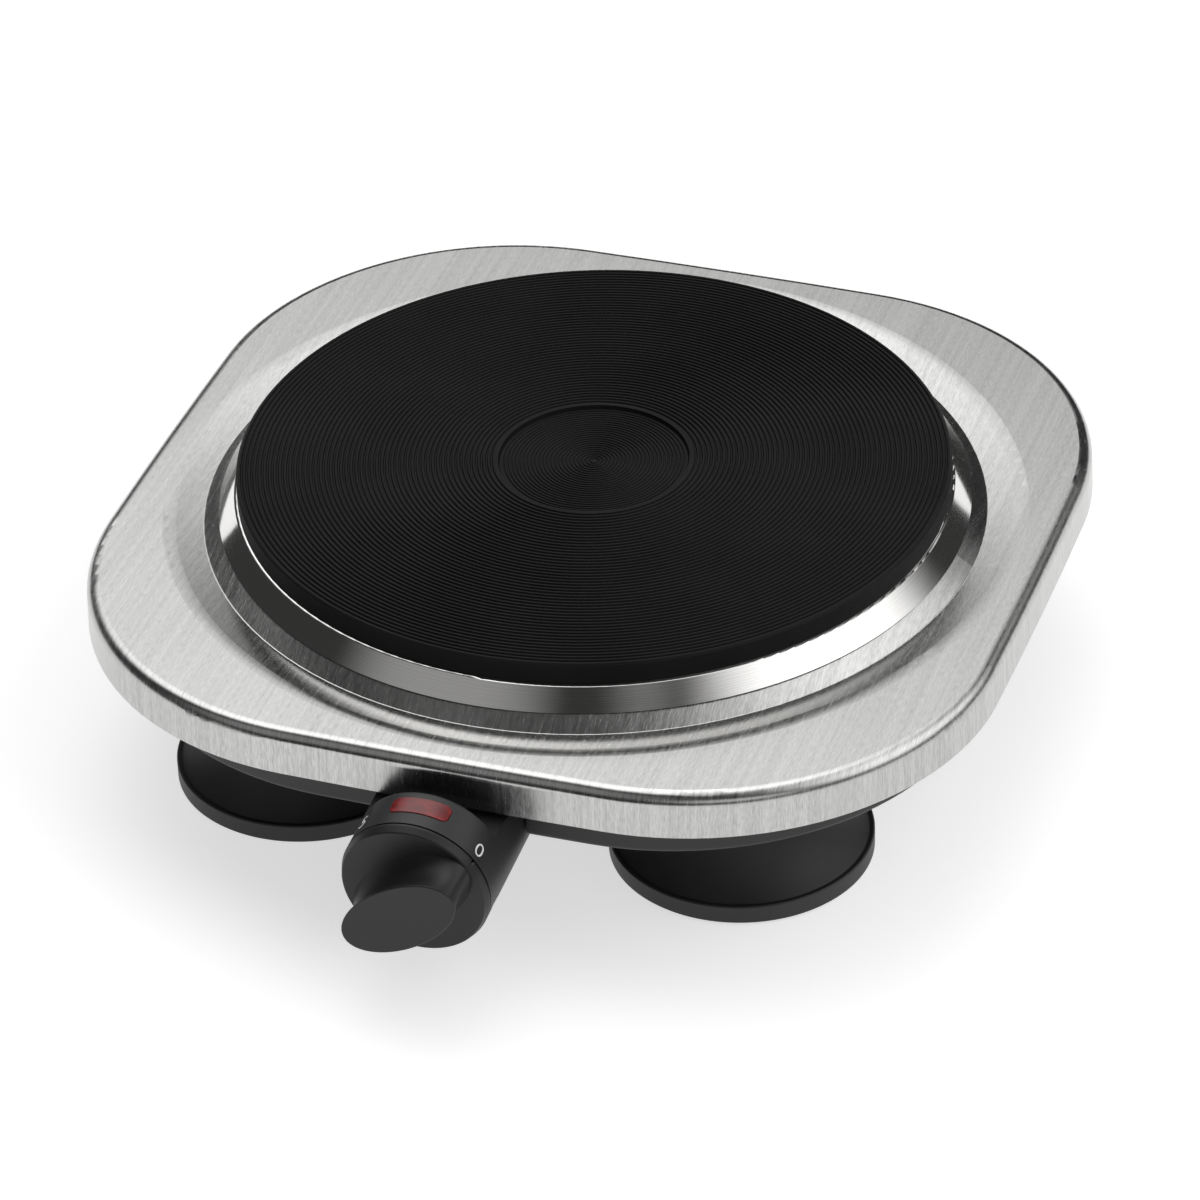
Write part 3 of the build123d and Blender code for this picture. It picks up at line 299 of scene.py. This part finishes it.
def printed_white(name):
    n = Nodes(name)
    place = n.place()
    grain = n.noise(place, 2600.0, 2.0)
    colour = n.blend(n.fit(grain, 0.3, 0.7, 0.0, 1.0), grey(0.74), grey(0.86))
    return n.finish(Base_Color=colour, Roughness=n.fit(grain, 0.3, 0.7, 0.42, 0.56),
                    Normal=n.bump(grain, 0.15, 0.01 * MM))


def make_materials():
    return {
        "cast_iron_plate": cast_iron("cast_iron_plate"),
        "coil": plain_metal("coil", (0.20, 0.16, 0.13, 1), (0.36, 0.30, 0.26, 1), 0.5),
        "ceramic": ceramic("ceramic"),
        "zinc_steel": plain_metal("zinc_steel", (0.46, 0.47, 0.48, 1),
                                  (0.68, 0.69, 0.70, 1), 0.38, 900.0),
        "bright_steel": plain_metal("bright_steel", (0.55, 0.55, 0.55, 1),
                                    (0.74, 0.74, 0.73, 1), 0.24),
        "polished_ring": polished_steel("polished_ring"),
        "brushed_cover": brushed_steel("brushed_cover"),
        "black_pan": moulded_plastic("black_pan", (0.010, 0.010, 0.0105, 1),
                                     (0.016, 0.016, 0.016, 1), 0.46),
        "shield": plain_metal("shield", (0.50, 0.50, 0.51, 1), (0.70, 0.70, 0.71, 1), 0.34, 1400.0),
        "black_housing": moulded_plastic("black_housing", (0.013, 0.013, 0.0135, 1),
                                         (0.019, 0.019, 0.019, 1), 0.44),
        "black_feet": moulded_plastic("black_feet", (0.015, 0.015, 0.0155, 1),
                                      (0.022, 0.022, 0.022, 1), 0.50),
        "black_knob": moulded_plastic("black_knob", (0.011, 0.011, 0.0113, 1),
                                      (0.016, 0.016, 0.016, 1), 0.42, level=0.36),
        "red_lens": red_lens("red_lens"),
        "lamp_glass": lamp_glass("lamp_glass"),
        "brass_parts": plain_metal("brass_parts", (0.56, 0.40, 0.16, 1),
                                   (0.78, 0.60, 0.28, 1), 0.30),
        "cutout": moulded_plastic("cutout", (0.20, 0.17, 0.11, 1), (0.32, 0.28, 0.20, 1), 0.55),
        "gland": moulded_plastic("gland", (0.012, 0.012, 0.012, 1), (0.020, 0.020, 0.020, 1), 0.55),
        "pad_rubber": moulded_plastic("pad_rubber", (0.012, 0.012, 0.012, 1),
                                      (0.022, 0.022, 0.022, 1), 0.75, 1300.0, 0.05),
        "lead_brown": insulated_wire("lead_brown", (0.10, 0.035, 0.012, 1), (0.16, 0.06, 0.022, 1)),
        "lead_blue": insulated_wire("lead_blue", (0.012, 0.06, 0.30, 1), (0.02, 0.10, 0.42, 1)),
        "lead_white": insulated_wire("lead_white", (0.66, 0.66, 0.64, 1), (0.80, 0.80, 0.78, 1)),
        "lead_green": insulated_wire("lead_green", (0.10, 0.34, 0.03, 1), (0.34, 0.44, 0.03, 1)),
        "plain_aluminium": plain_metal("plain_aluminium", (0.62, 0.63, 0.64, 1),
                                       (0.80, 0.81, 0.82, 1), 0.36, 1200.0),
    }


def dress_nodes(materials):
    """Each CAD node takes the material of the slot that the record gives it."""
    slots = node_slots()
    for name, obj in frame["nodes"].items():
        obj.data.materials.clear()
        obj.data.materials.append(materials[slots[name]])


def node_slots():
    """Node name to slot name, from the record."""
    return {entry["node"]: entry["material_slot"] for entry in frame["record"]["subparts"]}


# ---------------------------------------------------------------- dial figures
DRUM_RADIUS = 18.72 * MM
FIGURE_HEIGHT = 4.1 * MM
FIGURE_BACK = 3.6 * MM                # middle of the figures, behind the front rim of the drum
FIGURE_RAISE = 0.12 * MM
FIGURE_THINNING = 0.06 * MM           # taken off every edge of the built-in font
FONT_CAP_HEIGHT = 0.72                # height of a figure in the built-in font at size 1
FIGURE_COUNT = 6
FIRST_FIGURE = math.radians(54.8)     # clockwise from the top, seen from in front of the dial
FIGURE_STEP = math.radians(51.2)


def figure(text, angle, material):
    """One raised figure, wrapped round the drum."""
    curve = bpy.data.curves.new("figure", "FONT")
    curve.body = text
    curve.align_x = "CENTER"
    curve.align_y = "CENTER"
    curve.size = FIGURE_HEIGHT / FONT_CAP_HEIGHT
    curve.extrude = FIGURE_RAISE
    curve.offset = -FIGURE_THINNING
    holder = bpy.data.objects.new("figure", curve)
    bpy.context.scene.collection.objects.link(holder)
    bpy.context.view_layer.update()
    graph = bpy.context.evaluated_depsgraph_get()
    mesh = bpy.data.meshes.new_from_object(holder.evaluated_get(graph))
    bpy.data.objects.remove(holder)
    mesh.name = "dial_figure_" + text
    centre = sum((v.co for v in mesh.vertices), Vector()) / len(mesh.vertices)
    axis = Vector(KNOB_JOINT["axis"]).normalized()
    start = Vector(KNOB_JOINT["pos_m"])
    back = axis if axis.y > 0 else -axis
    up = Vector((0, 0, 1)) - back * back.z
    up.normalize()
    right = Vector((1, 0, 0))
    for vertex in mesh.vertices:
        turn = angle + (vertex.co.x - centre.x) / DRUM_RADIUS
        radius = DRUM_RADIUS + vertex.co.z
        outward = up * math.cos(turn) + right * math.sin(turn)
        vertex.co = start + back * (FIGURE_BACK + vertex.co.y - centre.y) + outward * radius
    mesh.materials.clear()
    mesh.materials.append(material)
    obj = bpy.data.objects.new("dial_figure_" + text, mesh)
    bpy.context.scene.collection.objects.link(obj)
    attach(obj, "body")
    return obj


def make_figures():
    material = printed_white("printed_white")
    for index in range(FIGURE_COUNT):
        figure(str(index), FIRST_FIGURE + index * FIGURE_STEP, material)


# ---------------------------------------------------------------- studio
FLOOR_HALF_WIDTH = 6.0


def make_floor():
    half = FLOOR_HALF_WIDTH
    corners = [(-half, -half, 0), (half, -half, 0), (half, half, 0), (-half, half, 0)]
    mesh = bpy.data.meshes.new("floor")
    mesh.from_pydata(corners, [], [(0, 1, 2, 3)])
    mesh.materials.append(floor_material("floor"))
    floor = bpy.data.objects.new("floor", mesh)
    bpy.context.scene.collection.objects.link(floor)


# Soft lights of the studio, far away: azimuth and elevation of the middle, then the angles from it
# at which the light is full and gone, in degrees, and its brightness.
SOFT_LIGHTS = (
    (214, 55, 8, 37, 1.85),           # window-like light behind, to the left
    (106, 35, 6, 49, 1.75),           # on the right
    (-34, 45, 5, 31, 0.30),           # faint fill at the front left
    (200, 75, 8, 28, 0.7),           # overhead, toward the back
    (32, 20, 5, 28, 1.0),             # low fill in front
)
HORIZON_DARK = math.radians(11)       # nothing shines from lower than this
HORIZON_CLEAR = math.radians(29)
WALL_LIGHT = 0.04


def direction_of(azimuth, elevation):
    a, e = math.radians(azimuth), math.radians(elevation)
    return (math.sin(a) * math.cos(e), -math.cos(a) * math.cos(e), math.sin(e))


def make_world():
    """A dark studio with broad soft lights that fade out at their edges."""
    world = bpy.data.worlds.new("studio")
    bpy.context.scene.world = world
    world.use_nodes = True
    tree = world.node_tree

    def node(kind, *values, **settings):
        made = tree.nodes.new("ShaderNode" + kind)
        for key, value in settings.items():
            setattr(made, key, value)
        for socket, value in zip(made.inputs, values):
            if isinstance(value, bpy.types.NodeSocket):
                tree.links.new(value, socket)
            else:
                socket.default_value = value
        return made

    toward = node("TexCoord").outputs["Generated"]
    total = None
    for azimuth, elevation, full, gone, brightness in SOFT_LIGHTS:
        along = node("VectorMath", toward, direction_of(azimuth, elevation), operation="DOT_PRODUCT")
        lobe = node("MapRange", along.outputs["Value"], math.cos(math.radians(gone)),
                    math.cos(math.radians(full)), 0.0, brightness, interpolation_type="SMOOTHSTEP")
        lobe = lobe.outputs["Result"]
        total = lobe if total is None else node("Math", total, lobe, operation="ADD").outputs[0]
    height = node("SeparateXYZ", toward).outputs["Z"]
    clear = node("MapRange", height, math.sin(HORIZON_DARK), math.sin(HORIZON_CLEAR), 0.0, 1.0,
                 interpolation_type="SMOOTHSTEP").outputs["Result"]
    total = node("Math", total, clear, operation="MULTIPLY").outputs[0]
    total = node("Math", total, WALL_LIGHT, operation="ADD").outputs[0]
    background = tree.nodes["Background"]
    background.inputs["Color"].default_value = (1, 1, 1, 1)
    tree.links.new(total, background.inputs["Strength"])


def make_studio():
    make_floor()
    make_world()
    scene = bpy.context.scene
    scene.view_settings.view_transform = "Standard"
    scene.view_settings.look = "None"


make_camera()
dress_nodes(make_materials())
make_figures()
make_studio()
